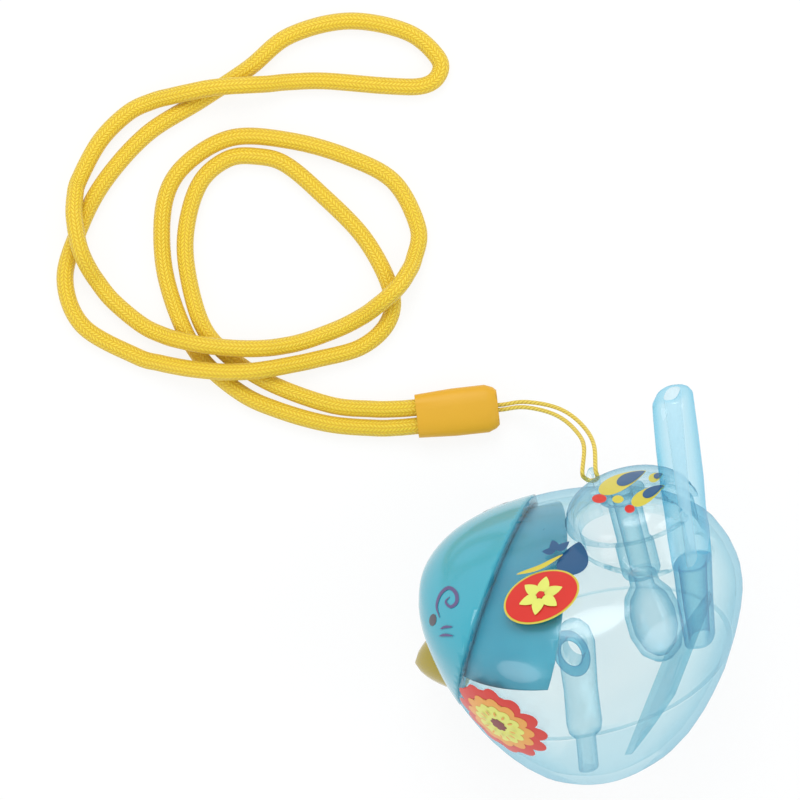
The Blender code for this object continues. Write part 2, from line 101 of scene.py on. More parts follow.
# The rope's and the strap's routes as photo column, photo row and height of the middle in mm. The rope's is
# repeated from the part. STRAP_LOOP is the strap's way round the eye, across it and up, in mm.
ROPE = [
    (432, 424.2, 3.4), (412, 426.3, 3.1), (396, 427.6, 2.6), (375, 428, 2.1), (329, 424, 2),
    (281, 411, 2), (241, 393, 2), (201, 358, 2), (177, 313, 2), (163, 259, 2), (165, 200, 2),
    (187, 163, 2), (233, 137.5, 2), (292, 141, 2), (348, 157, 2), (394, 182, 2), (418, 228, 2),
    (414, 259, 2.3), (407, 274, 4.6), (399, 286, 6.3), (388, 297, 6.5), (377, 306, 5.4),
    (363, 316, 3.2), (340, 328, 2.1), (305, 341, 2.3), (280, 346.5, 3.8), (260, 348.5, 5.6),
    (240, 348.5, 6.3), (219, 347, 6.5), (200, 344.5, 6.5), (183, 341, 5.5), (165, 336, 3.4),
    (142, 325, 2.1), (113, 301, 2.1), (97, 281, 2.6), (88, 267, 4.6), (81, 252, 6.2), (77, 237, 6.5),
    (74, 214, 6.0), (75, 196, 4.2), (79, 180, 2.3), (100, 141, 2), (128, 113, 2), (153, 101, 2.4),
    (172, 96, 4.2), (190, 92, 6), (210, 88, 6.5), (230, 86, 6.5), (248, 85, 6.1), (268, 84, 4.1),
    (288, 82, 2.3), (325, 81, 2), (388, 86, 2), (422, 86, 2), (438, 76, 2), (438, 58, 2), (407, 32, 2),
    (348, 21, 2), (289, 36, 2), (249, 68, 2), (201, 100, 2), (147, 134, 2), (104, 182, 2), (79, 230, 2),
    (65, 280, 2), (83, 326, 2), (136, 356, 2.1), (160, 363, 3.2), (185, 368, 5.3), (205, 370.5, 6.4),
    (225, 372, 6.5), (247, 371.5, 6.5), (268, 369, 5.7), (290, 365, 3.7), (316, 359.5, 2.2),
    (361, 347, 2), (388, 322, 2), (390.5, 289, 2), (364, 238, 2), (319, 192, 2), (285, 164, 2),
    (258, 156.5, 2), (229, 158.5, 2), (202, 180, 2), (188, 218, 2), (186, 262, 2), (200, 320, 2),
    (224, 352, 2), (268, 382, 2), (329, 404.5, 2), (372, 409, 2.1), (396, 409, 2.6), (412, 407.9, 3.1),
    (432, 405.8, 3.4),
]
STRAP_A = [
    (492, 410.3, 3.3), (503, 409.6, 3.4), (522, 407, 5.5), (545, 411, 9.5), (562, 418.5, 14.5),
    (576, 431, 20.5), (584, 446, 26.5),
]
STRAP_LOOP = [
    (1.6, 4.2), (1.7, 2.5), (1.45, 1.2), (0.8, 0.4), (0.0, 0.2), (-0.8, 0.4), (-1.45, 1.2), (-1.7, 2.5),
    (-1.6, 4.2),
]
STRAP_B = [
    (594, 445, 27.5), (584, 427, 20.5), (567, 412.5, 14.5), (547, 404.8, 9), (522, 401.8, 5.2),
    (503, 404.7, 3.4), (492, 405.2, 3.3),
]

# Light that passes one surface of each clear piece, seen straight on and at a grazing angle, as linear
# colour. INNER is the same for the inner faces of the body and the lid.
CLEAR = {
    "upper_shell": ((0.915, 0.970, 0.976), (0.34, 0.67, 0.79)),
    "lower_shell": ((0.915, 0.970, 0.976), (0.34, 0.67, 0.79)),
    "back_lid": ((0.945, 0.978, 0.984), (0.18, 0.54, 0.68)),
    "filler_tube": ((0.86, 0.945, 0.965), (0.24, 0.62, 0.75)),
    "warble_bulb": ((0.92, 0.965, 0.98), (0.26, 0.64, 0.76)),
    "mouthpiece": ((0.80, 0.935, 0.98), (0.24, 0.68, 0.84)),
    "air_duct": ((0.80, 0.93, 0.96), (0.12, 0.52, 0.70)),
    "whistle_tube": ((0.88, 0.95, 0.965), (0.20, 0.58, 0.72)),
    "baffle": ((0.91, 0.965, 0.975), (0.35, 0.70, 0.80)),
    "window_ring": ((0.52, 0.82, 0.90), (0.16, 0.52, 0.68)),
}
INNER = ((0.985, 0.995, 0.997), (0.80, 0.93, 0.96))
SHELLS = ("upper_shell", "lower_shell", "back_lid")
WORKS = ("mouthpiece", "air_duct", "filler_tube", "warble_bulb", "whistle_tube", "baffle")


def colour(name, description, default):
    """A colour setting."""
    return bpy.props.FloatVectorProperty(name=name, description=description, default=default, min=0, max=1,
                                         size=3, subtype="COLOR")


def distance(name, description, default, low, high):
    """A length setting, in metres."""
    return bpy.props.FloatProperty(name=name, description=description, default=default, min=low, max=high,
                                   subtype="DISTANCE", unit="LENGTH", precision=5)


def power(name, description, default):
    """A lamp's power setting, in watts."""
    return bpy.props.FloatProperty(name=name, description=description, default=default, min=0, max=100,
                                   unit="POWER")


class WhistleCord(bpy.types.PropertyGroup):
    """Sizes and colours of the braided rope and the thin strap."""

    rope_diameter: distance("Rope diameter", "Thickness of the braided rope", 0.004, 0.002, 0.006)
    strap_diameter: distance("Strap diameter", "Thickness of the thin strap", 0.001, 0.0006, 0.0016)
    braid_rows: bpy.props.IntProperty(
        name="Braid rows", description="Rows of stitches round the rope, an even number", default=12, min=6,
        max=24)
    stitch: distance("Stitch", "Length of one braid stitch along the rope", 0.00092, 0.0004, 0.003)
    thread: colour("Thread", "Colour of the lit threads", (0.90, 0.69, 0.050))
    # Painted shade: the crevice colour is shade painted deep between the threads, and the thread colour is
    # the lit colour on their tops.
    painted_crevice_shade: colour("Crevice", "Colour deep between the threads", (0.74, 0.44, 0.010))


class WhistlePlastic(bpy.types.PropertyGroup):
    """Colours and surface of the moulded plastic."""

    cap: colour("Head cap", "Colour of the opaque head cap", (0.048, 0.405, 0.525))
    inside: colour("Inner wall", "Colour of the blue wall behind the head", (0.008, 0.31, 0.455))
    beak: colour("Beak", "Colour of the beak", (0.39, 0.30, 0.0005))
    sleeve: colour("Sleeve", "Colour of the sleeve between rope and strap", (0.79, 0.415, 0.012))
    roughness: bpy.props.FloatProperty(
        name="Gloss roughness", description="Roughness of the polished plastic", default=0.06, min=0, max=1,
        subtype="FACTOR")
    print_lift: distance("Print lift", "How far a print stands off the plastic", 0.00005, 0.00001, 0.0003)


class WhistleStage(bpy.types.PropertyGroup):
    """Strength of the light."""

    sky: bpy.props.FloatProperty(
        name="Room light", description="Even light from all round", default=0.74, min=0, max=3)
    key: power("Key lamp", "Power of the large soft lamp", 1.7)
    fill: power("Fill lamp", "Power of the second soft lamp", 0.7)


class Graph:
    """Short way to write down a material's nodes and links."""

    def __init__(self, name):
        self.material = bpy.data.materials.new(name)
        self.material.use_nodes = True
        self.tree = self.material.node_tree
        self.tree.nodes.clear()
        self.out = self.tree.nodes.new("ShaderNodeOutputMaterial")

    def node(self, kind, inputs=None, **values):
        node = self.tree.nodes.new("ShaderNode" + kind)
        for key, value in values.items():
            setattr(node, key, value)
        for key, value in (inputs or {}).items():
            self.put(node.inputs[key], value)
        return node

    def put(self, socket, value):
        if isinstance(value, bpy.types.NodeSocket):
            self.tree.links.new(value, socket)
        elif isinstance(value, (tuple, list)) and len(value) == 3 and socket.type == "RGBA":
            socket.default_value = (*value, 1.0)
        else:
            socket.default_value = value

    def math(self, operation, *values):
        node = self.node("Math", operation=operation)
        for i, value in enumerate(values):
            self.put(node.inputs[i], value)
        return node.outputs[0]

    def mix(self, factor, one, two):
        node = self.node("Mix", data_type="RGBA")
        self.put(node.inputs["Factor"], factor)
        self.put(node.inputs[6], one)
        self.put(node.inputs[7], two)
        return node.outputs[2]

    def blend(self, factor, one, two):
        return self.node("MixShader", {0: factor, 1: one, 2: two}).outputs[0]

    def noise(self, scale, detail=2.0, rough=0.5, stretch=(1, 1, 1)):
        place = self.node("TexCoord").outputs["Object"]
        place = self.node("Mapping", {"Vector": place, "Scale": stretch}).outputs[0]
        node = self.node("TexNoise", {"Vector": place, "Scale": scale, "Detail": detail, "Roughness": rough})
        return node.outputs["Fac"]

    def bump(self, height, distance, strength=1.0):
        return self.node("Bump", {"Height": height, "Distance": distance, "Strength": strength}).outputs[0]

    def shade(self, shader):
        self.tree.links.new(shader, self.out.inputs["Surface"])
        return self.material


def moulded(name, colour, roughness, grain=0.00002, coat=0.0):
    """Opaque moulded plastic: slight mottling of the colour, faint flow lines and fine orange peel."""
    g = Graph(name)
    dark = tuple(c * 0.88 for c in colour)
    mottle = g.noise(70.0, 3.0)
    flow = g.noise(45.0, 2.0, 0.5, (1.0, 1.0, 3.5))
    base = g.mix(g.math("MULTIPLY", mottle, 0.8), colour, dark)
    gloss = g.math("MULTIPLY_ADD", flow, 0.05, roughness - 0.02)
    peel = g.bump(g.noise(900.0, 2.0), grain, 0.5)
    shader = g.node("BsdfPrincipled", {"Base Color": base, "Roughness": gloss, "Normal": peel, "IOR": 1.5,
                                       "Coat Weight": coat, "Coat Roughness": 0.05})
    return g.shade(shader.outputs[0])


def clear_plastic(name, face, edge, roughness, haze, deepen):
    """Tinted clear plastic: light passes with a tint that deepens towards the edges, under a thin gloss."""
    g = Graph(name)
    waves = g.bump(g.noise(60.0, 2.0, 0.5, (1.0, 1.0, 2.0)), 0.00035, 0.55)
    facing = g.node("LayerWeight", {"Blend": 0.5}).outputs["Facing"]
    slope = g.math("POWER", facing, deepen)
    streak = g.math("MULTIPLY_ADD", g.noise(35.0, 3.0, 0.6, (1.0, 1.0, 2.5)), 0.16, -0.06)
    depth = g.math("ADD", slope, streak)
    depth.node.use_clamp = True
    tint = g.mix(depth, face, edge)
    through = g.node("BsdfTransparent", {"Color": tint}).outputs[0]
    white = tuple(min(1.0, c * 0.98) for c in face)
    milk = g.node("BsdfDiffuse", {"Color": white, "Roughness": 0.4}).outputs[0]
    body = g.blend(g.math("MULTIPLY_ADD", slope, haze, haze * 0.5), through, milk)
    shine = g.node("BsdfGlossy", {"Color": (1, 1, 1), "Roughness": roughness, "Normal": waves}).outputs[0]
    mirror = g.math("MULTIPLY_ADD", g.math("POWER", facing, 4.0), 0.34, 0.035)
    return g.shade(g.blend(mirror, body, shine))


def chamber_blue(colour):
    """The blue chamber wall, seen through water-clear plastic: cloudy, with paler streaks painted in as
    reflections.
    """
    g = Graph("chamber_blue")
    mottle = g.noise(55.0, 4.0, 0.6)
    streak = g.noise(26.0, 3.0, 0.6, (1.0, 1.0, 2.0))
    base = g.mix(mottle, colour, tuple(c * 0.80 for c in colour))
    # Painted reflection: the paler streaks stand in for reflections on the wall.
    base = g.mix(g.math("MULTIPLY", g.math("POWER", streak, 3.0), 2.0), base, (0.07, 0.50, 0.64))
    wave = g.bump(g.noise(90.0, 2.0), 0.0004, 0.6)
    shader = g.node("BsdfPrincipled", {"Base Color": base, "Roughness": 0.25, "Normal": wave})
    return g.shade(shader.outputs[0])


def slot_frost():
    """The frosted faces of the mouthpiece's slot."""
    g = Graph("slot_frost")
    pale = g.mix(g.noise(120.0, 3.0), (0.93, 0.98, 1.0), (0.80, 0.93, 0.98))
    milk = g.node("BsdfDiffuse", {"Color": pale}).outputs[0]
    through = g.node("BsdfTransparent", {"Color": (0.97, 0.99, 1.0)}).outputs[0]
    return g.shade(g.blend(g.math("MULTIPLY_ADD", g.noise(80.0, 2.0), 0.25, 0.28), through, milk))


def ink(name, colour):
    """A layer of pad-printed ink: slightly uneven cover over a satin surface."""
    g = Graph(name)
    worn = g.noise(420.0, 4.0, 0.6)
    base = g.mix(g.math("MULTIPLY", worn, 0.5), colour, tuple(c * 0.8 for c in colour))
    skin = g.bump(g.noise(2500.0, 2.0), 0.00001, 0.6)
    shader = g.node("BsdfPrincipled", {"Base Color": base, "Roughness": 0.28, "Normal": skin})
    return g.shade(shader.outputs[0])


def braid(name, length, cord):
    """Braided cord: rows of slanting stitches that turn about from row to row, each of a few threads, with
    painted shade between them.
    """
    g = Graph(name)
    uv = g.node("SeparateXYZ", {"Vector": g.node("TexCoord").outputs["UV"]}).outputs
    along = g.math("MULTIPLY", uv[0], length / cord.stitch)
    rows = g.math("MULTIPLY", uv[1], float(cord.braid_rows))
    across = g.math("FRACT", rows)
    turn = g.math("MULTIPLY_ADD", g.math("FLOORED_MODULO", g.math("FLOOR", rows), 2.0), 2.0, -1.0)
    lean = g.math("MULTIPLY", turn, g.math("MULTIPLY_ADD", across, 1.1, -0.55))
    phase = g.math("FRACT", g.math("ADD", g.math("ADD", along, lean), 1000.0))
    swell = g.math("POWER", g.math("SINE", g.math("MULTIPLY", phase, math.pi)), 0.55)
    rib = g.math("POWER", g.math("SINE", g.math("MULTIPLY", across, math.pi)), 0.5)
    threads = g.math("SINE", g.math("MULTIPLY", phase, math.pi * 8.0))
    height = g.math("MULTIPLY", swell, rib)
    fine = g.math("MULTIPLY_ADD", threads, 0.05, height)
    drift = g.noise(160.0, 2.0)
    # Painted shade: the base goes from the crevice colour, painted shade where the stitches' relief is low,
    # to the lit thread colour on their tops.
    lit = g.math("POWER", height, 1.35)
    base = g.mix(lit, tuple(cord.painted_crevice_shade), tuple(cord.thread))
    base = g.mix(g.math("MULTIPLY", drift, 0.30), base, (0.94, 0.62, 0.02))
    bump = g.bump(fine, 0.00020, 0.8)
    shader = g.node("BsdfPrincipled", {"Base Color": base, "Roughness": 0.42, "Normal": bump,
                                       "Sheen Weight": 0.15, "Sheen Roughness": 0.4,
                                       "Specular IOR Level": 0.45})
    return g.shade(shader.outputs[0])


def twisted(name, length, cord, lay=0.0011):
    """Thin cord of three strands twisted about each other, with a lay in metres, and painted shade in the
    grooves between them.
    """
    g = Graph(name)
    uv = g.node("SeparateXYZ", {"Vector": g.node("TexCoord").outputs["UV"]}).outputs
    turns = g.math("ADD", g.math("MULTIPLY", uv[0], length / lay), g.math("MULTIPLY", uv[1], 3.0))
    ridge = g.math("POWER", g.math("ABSOLUTE", g.math("SINE", g.math("MULTIPLY", turns, math.pi))), 0.6)
    # Painted shade: the grooves between the strands go dark towards a darkened crevice colour, and the ridges
    # go light.
    base = g.mix(ridge, tuple(c * 0.6 for c in cord.painted_crevice_shade), (0.86, 0.68, 0.10))
    base = g.mix(g.math("MULTIPLY", g.noise(300.0, 2.0), 0.4), base, (0.66, 0.48, 0.06))
    bump = g.bump(ridge, 0.0001, 0.8)
    shader = g.node("BsdfPrincipled", {"Base Color": base, "Roughness": 0.5, "Normal": bump,
                                       "Sheen Weight": 0.1})
    return g.shade(shader.outputs[0])


def from_picture(col, row, height):
    """The point in the row frame, in metres, that the photo shows at a column and row, at a height in mm."""
    scale = (CAMERA_UP - height) / CAMERA_UP * PHOTO_WIDE / PHOTO
    return (Vector(((col - PHOTO / 2) * scale, (PHOTO / 2 - row) * scale, height)) - FRAME_MIDDLE) * MM


def smooth_line(points, steps):
    """A smooth curve through the points, with steps points for each stretch."""
    ends = [points[0] * 2 - points[1]] + points + [points[-1] * 2 - points[-2]]
    line = []
    for a, b, c, d in zip(ends, ends[1:], ends[2:], ends[3:]):
        for k in range(steps):
            t = k / steps
            line.append(0.5 * (2 * b + (c - a) * t + (2 * a - 5 * b + 4 * c - d) * t * t
                               + (3 * b - a - 3 * c + d) * t ** 3))
    return line + [points[-1]]


def even_line(line, step):
    """The same line with its points the same length apart."""
    count = max(2, round(line_length(line) / step))
    gap = line_length(line) / count
    points, walked = [line[0]], 0.0
    for a, b in zip(line, line[1:]):
        length = (b - a).length
        while len(points) < count and walked + length >= gap * len(points):
            points.append(a.lerp(b, (gap * len(points) - walked) / length))
        walked += length
    return points + [line[-1]]


def eased(line, passes):
    """The same line with its kinks eased out; its two ends stay."""
    for _ in range(passes):
        middle = [(a + b * 2 + c) / 4 for a, b, c in zip(line, line[1:], line[2:])]
        line = [line[0]] + middle + [line[-1]]
    return line


def line_length(line):
    """The length of a line of points."""
    return sum((b - a).length for a, b in zip(line, line[1:]))


def link(obj):
    """Puts a new object into the scene."""
    bpy.context.scene.collection.objects.link(obj)
    return obj


def from_bmesh(bm, name, material=None):
    """A smooth-shaded object made from a bmesh, which this frees."""
    mesh = bpy.data.meshes.new(name)
    bm.to_mesh(mesh)
    bm.free()
    mesh.shade_smooth()
    obj = link(bpy.data.objects.new(name, mesh))
    if material:
        mesh.materials.append(material)
    return obj


def tube(name, line, radius, around):
    """A grid rolled up along a line, with its first coordinate along it and its second round it."""
    bm = bmesh.new()
    bm.loops.layers.uv.new("UVMap")
    count = len(line) - 1
    bmesh.ops.create_grid(bm, x_segments=count, y_segments=around, size=1.0, calc_uvs=True)
    rings = []
    side = Vector((0, 0, 1))
    for i, point in enumerate(line):
        ahead = (line[min(i + 1, count)] - line[max(i - 1, 0)]).normalized()
        side = (side - ahead * side.dot(ahead)).normalized()
        rings.append((point, side, ahead.cross(side)))
    for vert in bm.verts:
        i = round((vert.co.x + 1) / 2 * count)
        angle = (vert.co.y + 1) * math.pi
        point, one, two = rings[i]
        vert.co = point + radius * (math.cos(angle) * one + math.sin(angle) * two)
    bmesh.ops.remove_doubles(bm, verts=bm.verts, dist=1e-6)
    bmesh.ops.holes_fill(bm, edges=bm.edges, sides=around)
    bmesh.ops.recalc_face_normals(bm, faces=bm.faces)
    return from_bmesh(bm, name)


def stand_for(obj, node):
    """Lets a finished piece take the place of a CAD node."""
    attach(obj, "root")
    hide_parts(node)


def smooth_copy(node, material, angle=35.0, reshape=None):
    """A merged, smooth-shaded copy of a CAD node, which it replaces. reshape moves each of its points."""
    bm = bmesh.new()
    bm.from_mesh(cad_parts[node].data)
    bm.transform(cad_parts[node].matrix_world)
    bmesh.ops.remove_doubles(bm, verts=bm.verts, dist=2e-6)
    bmesh.ops.dissolve_degenerate(bm, edges=bm.edges, dist=2e-6)
    if reshape:
        for vert in bm.verts:
            vert.co = reshape(vert.co)
    bmesh.ops.recalc_face_normals(bm, faces=bm.faces)
    obj = from_bmesh(bm, node + "_skin", material)
    obj.data.set_sharp_from_angle(angle=math.radians(angle))
    weigh = obj.modifiers.new("even shading", "WEIGHTED_NORMAL")
    weigh.keep_sharp = True
    stand_for(obj, node)
    return obj


def body_surface(offset):
    """A grid rolled up into the body's outer surface, moved outwards by an offset in mm."""
    rows = smooth_line([Vector(row) for row in SECTIONS], 6)
    bm = bmesh.new()
    bmesh.ops.create_grid(bm, x_segments=len(rows) - 1, y_segments=120, size=1.0)
    for vert in bm.verts:
        z, middle, long, wide = rows[round((vert.co.x + 1) / 2 * (len(rows) - 1))]
        angle = (vert.co.y + 1) * math.pi
        span = BODY_TOP if z > 0 else -FOOT
        grow = offset if z < BODY_TOP - 0.01 else 0.0
        long, wide = max(0.0, long + grow), max(0.0, wide + grow)
        vert.co = Vector((middle + long * math.cos(angle), wide * math.sin(angle),
                          z * (span + offset) / span)) * MM
    bmesh.ops.remove_doubles(bm, verts=bm.verts, dist=1e-6)
    bmesh.ops.recalc_face_normals(bm, faces=bm.faces)
    return bm


def cut_body(bm, tilt, distance, keep_front, slant=0.0):
    """Cuts the body across in a plane that tilts back by some degrees, and keeps one side."""
    normal = Vector((math.cos(math.radians(tilt)), slant, math.sin(math.radians(tilt)))).normalized()
    bmesh.ops.bisect_plane(bm, geom=bm.verts[:] + bm.edges[:] + bm.faces[:], plane_co=normal * distance * MM,
                           plane_no=normal, clear_inner=keep_front, clear_outer=not keep_front)


def walled(bm, name, thickness, node, material):
    """Gives an open surface its wall inwards, puts it in place and lets it stand for a CAD node."""
    bmesh.ops.recalc_face_normals(bm, faces=bm.faces)
    centre = Vector((0, 0, 10 * MM))
    if sum(f.normal.dot(f.calc_center_median() - centre) for f in bm.faces) < 0:
        bmesh.ops.reverse_faces(bm, faces=bm.faces)
    bm.transform(BIRD)
    obj = from_bmesh(bm, name, material)
    wall = obj.modifiers.new("wall", "SOLIDIFY")
    wall.thickness = thickness * MM
    wall.offset = -1.0
    obj.data.set_sharp_from_angle(angle=math.radians(40))
    stand_for(obj, node)
    return obj


def target(offset=None, name=None):
    """A surface to place prints on: the body's own, moved outwards, or a named piece."""
    if name is None:
        bm = body_surface(offset)
        bm.transform(BIRD)
    else:
        bm = bmesh.new()
        bm.from_mesh(bpy.data.objects[name].data)
    bm.normal_update()
    tree = BVHTree.FromBMesh(bm)
    bm.free()
    return tree


def onto_picture(tree):
    """Maps a photo point to the plastic that the camera sees there."""
    eye = from_picture(PHOTO / 2, PHOTO / 2, CAMERA_UP - 0.001)

    def place(x, y):
        ray = (from_picture(x, y, 0) - eye).normalized()
        hit, normal, _, _ = tree.ray_cast(eye, ray)
        if hit is None:
            raise RuntimeError("a print misses the plastic at " + str((x, y)))
        return hit, normal if normal.dot(ray) < 0 else -normal

    return place


def onto_tangent(tree, col, row, turn=0.0):
    """Maps millimetres in the plane that touches the plastic at a photo point down onto the plastic."""
    centre, out = onto_picture(tree)(col, row)
    up = (UPWARD - out * UPWARD.dot(out)).normalized()
    up.rotate(Matrix.Rotation(math.radians(turn), 3, out))
    right = up.cross(out)

    def place(x, y):
        start = centre + (right * x + up * y) * MM + out * 0.02
        hit, normal, _, _ = tree.ray_cast(start, -out)
        if hit is None:
            raise RuntimeError("a print misses the plastic at " + str((x, y)))
        return hit, normal if normal.dot(out) > 0 else -normal

    return place


def printed(name, inks, layers, place, lift, step, mirror=True):
    """Thin layers of ink. Each layer is (ink number, outline) and lies on those before it."""
    done = bmesh.new()
    for level, (number, outline) in enumerate(layers):
        bm = bmesh.new()
        bm.faces.new([bm.verts.new((x, y, 0)) for x, y in outline])
        bmesh.ops.triangulate(bm, faces=bm.faces)
        for _ in range(6):
            long_edges = [e for e in bm.edges if e.calc_length() > step]
            if not long_edges:
                break
            bmesh.ops.subdivide_edges(bm, edges=long_edges, cuts=1)
            bmesh.ops.triangulate(bm, faces=bm.faces)
        spots = []
        for vert in bm.verts:
            hit, normal = place(vert.co.x, vert.co.y)
            spots.append(hit + normal * lift * (1.0 + 0.8 * level))
        for vert, spot in zip(bm.verts, spots):
            vert.co = spot
        bm.normal_update()
        _, normal = place(*outline[0])
        if sum((f.normal.dot(normal) for f in bm.faces)) < 0:
            bmesh.ops.reverse_faces(bm, faces=bm.faces)
        if mirror:
            copy = bmesh.ops.duplicate(bm, geom=bm.verts[:] + bm.edges[:] + bm.faces[:])["geom"]
            verts = [v for v in copy if isinstance(v, bmesh.types.BMVert)]
            flip = BIRD @ Matrix.Diagonal((1, -1, 1, 1)) @ BIRD.inverted()
            bmesh.ops.transform(bm, matrix=flip, verts=verts)
            bmesh.ops.reverse_faces(bm, faces=[f for f in copy if isinstance(f, bmesh.types.BMFace)])
        for face in bm.faces:
            face.material_index = number
            face.smooth = True
        layer = bpy.data.meshes.new("layer")
        bm.to_mesh(layer)
        bm.free()
        done.from_mesh(layer)
        bpy.data.meshes.remove(layer)
    obj = from_bmesh(done, name)
    for material in inks:
        obj.data.materials.append(material)
    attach(obj, "root")
    return obj


def oval(x, y, wide, high, turn=0.0, count=36):
    """The outline of an oval, by its middle and half sizes."""
    points = []
    for k in range(count):
        a = 2 * math.pi * k / count
        points.append(turned(x, y, wide * math.cos(a), high * math.sin(a), turn))
    return points


def turned(x, y, dx, dy, turn):
    """A point by its distance from a middle, turned round that by some degrees."""
    c, s = math.cos(math.radians(turn)), math.sin(math.radians(turn))
    return (x + dx * c - dy * s, y + dx * s + dy * c)


def scallops(x, y, radius, depth, count):
    """A round outline with a wavy rim."""
    points = []
    for k in range(count * 8):
        a = 2 * math.pi * k / (count * 8)
        r = radius - depth * (1 - abs(math.sin(a * count / 2)) ** 0.8)
        points.append((x + r * math.cos(a), y + r * math.sin(a)))
    return points


def drop(x, y, tip_x, tip_y, half, count=16):
    """A drop from its round end to its tip, of some greatest half width."""
    axis = Vector((tip_x - x, tip_y - y))
    turn = math.degrees(math.atan2(axis.y, axis.x))
    one, two = [], []
    for k in range(count + 1):
        t = (1 - math.cos(math.pi * k / count)) / 2
        wide = half * max(0.0, math.sin(math.pi * t ** 0.65)) ** 0.75
        one.append(turned(x, y, axis.length * t, wide, turn))
        two.append(turned(x, y, axis.length * t, -wide, turn))
    return one + two[-2:0:-1]


def stroke(line, width, count=10):
    """A brush stroke along a line, thin at both ends."""
    line = smooth_line([Vector(p).to_3d() for p in line], count)
    left, right = [], []
    for i, p in enumerate(line):
        ahead = (line[min(i + 1, len(line) - 1)] - line[max(i - 1, 0)]).normalized()
        t = i / (len(line) - 1)
        half = width / 2 * max(0.12, math.sin(math.pi * t) ** 0.6)
        left.append((p.x - ahead.y * half, p.y + ahead.x * half))
        right.append((p.x + ahead.y * half, p.y - ahead.x * half))
    return left + right[::-1]


def settings():
    """The values on the panel, for the cords, the plastic and the stage."""
    scene = bpy.context.scene
    return scene.whistle_cord, scene.whistle_plastic, scene.whistle_stage


class WHISTLE_OT_camera(bpy.types.Operator):
    """Sets the camera straight above the middle of the photo"""

    bl_idname = "whistle.camera"
    bl_label = "Camera"

    def execute(self, context):
        data = bpy.data.cameras.new("camera")
        data.lens = LENS
        data.sensor_width = SENSOR
        data.clip_start = 0.01
        camera = link(bpy.data.objects.new("camera", data))
        camera.location = (Vector((0, 0, CAMERA_UP)) - FRAME_MIDDLE) * MM
        context.scene.camera = camera
        return {"FINISHED"}


class WHISTLE_OT_lanyard(bpy.types.Operator):
    """Lays the braided rope and the thin strap along their routes and joins them in the sleeve"""

    bl_idname = "whistle.lanyard"
    bl_label = "Lanyard"

    def execute(self, context):
        cord, plastic, _ = settings()
        mouth, end = [(point - FRAME_MIDDLE) * MM for point in SLEEVE_ENDS]
        run = end - mouth

        def fuller(point):
            """Widens the sleeve towards its thin end, level with the floor."""
            t = min(1.0, max(0.0, (point - mouth).dot(run) / run.length_squared))
            axis = mouth + run * t
            out = point - axis
            out -= run * (out.dot(run) / run.length_squared)
            grow = 1.0 + 0.62 * t
            return point + Vector((out.x * (grow - 1), out.y * (grow - 1), 0.0))

        matte = moulded("sleeve_matte", tuple(plastic.sleeve), 0.48, 0.00004)
        sleeve = smooth_copy("ferrule", matte, 40.0, fuller)

        line = smooth_line([from_picture(*p) for p in ROPE], 14)
        for point in line:
            point.z = max(point.z, cord.rope_diameter / 2)
        line = even_line(line, 0.0006)
        length = line_length(line)
        rope = tube("rope", line, cord.rope_diameter / 2, 18)
        rope.data.materials.append(braid("rope_braid", length, cord))
        stand_for(rope, "lanyard_rope")

        lug = BIRD @ (EYE_AT * MM)
        side = BIRD.to_3x3() @ Vector((1, 0, 0))
        lift = BIRD.to_3x3() @ Vector((0, 0.3, 0.75))
        around = [lug + (side * across + lift * high) * MM for across, high in STRAP_LOOP]
        points = [from_picture(*p) for p in STRAP_A] + around + [from_picture(*p) for p in STRAP_B]
        line = even_line(eased(even_line(smooth_line(points, 12), 0.0004), 12), 0.0004)
        length = line_length(line)
        strap = tube("strap", line, cord.strap_diameter / 2, 12)
        strap.data.materials.append(twisted("strap_twist", length, cord))
        stand_for(strap, "strap_cord")
        return {"FINISHED"}


class WHISTLE_OT_shells(bpy.types.Operator):
    """Dresses the two clear halves of the body and the clear lid"""

    bl_idname = "whistle.shells"
    bl_label = "Clear body"

    def execute(self, context):
        plastic = settings()[1]
        inward = BIRD.inverted()
        for node in SHELLS:
            outer = clear_plastic(node + "_clear", *CLEAR[node], plastic.roughness + 0.05, 0.02, 2.0)
            shell = smooth_copy(node, outer)
            shell.data.materials.append(
                clear_plastic(node + "_inner", *INNER, plastic.roughness + 0.10, 0.01, 3.0))
            middle = LID_MIDDLE if node == "back_lid" else SHELL_MIDDLE
            for face in shell.data.polygons:
                out = inward @ face.center - middle * MM
                if (inward.to_3x3() @ face.normal).dot(out) < 0:
                    face.material_index = 1
        return {"FINISHED"}


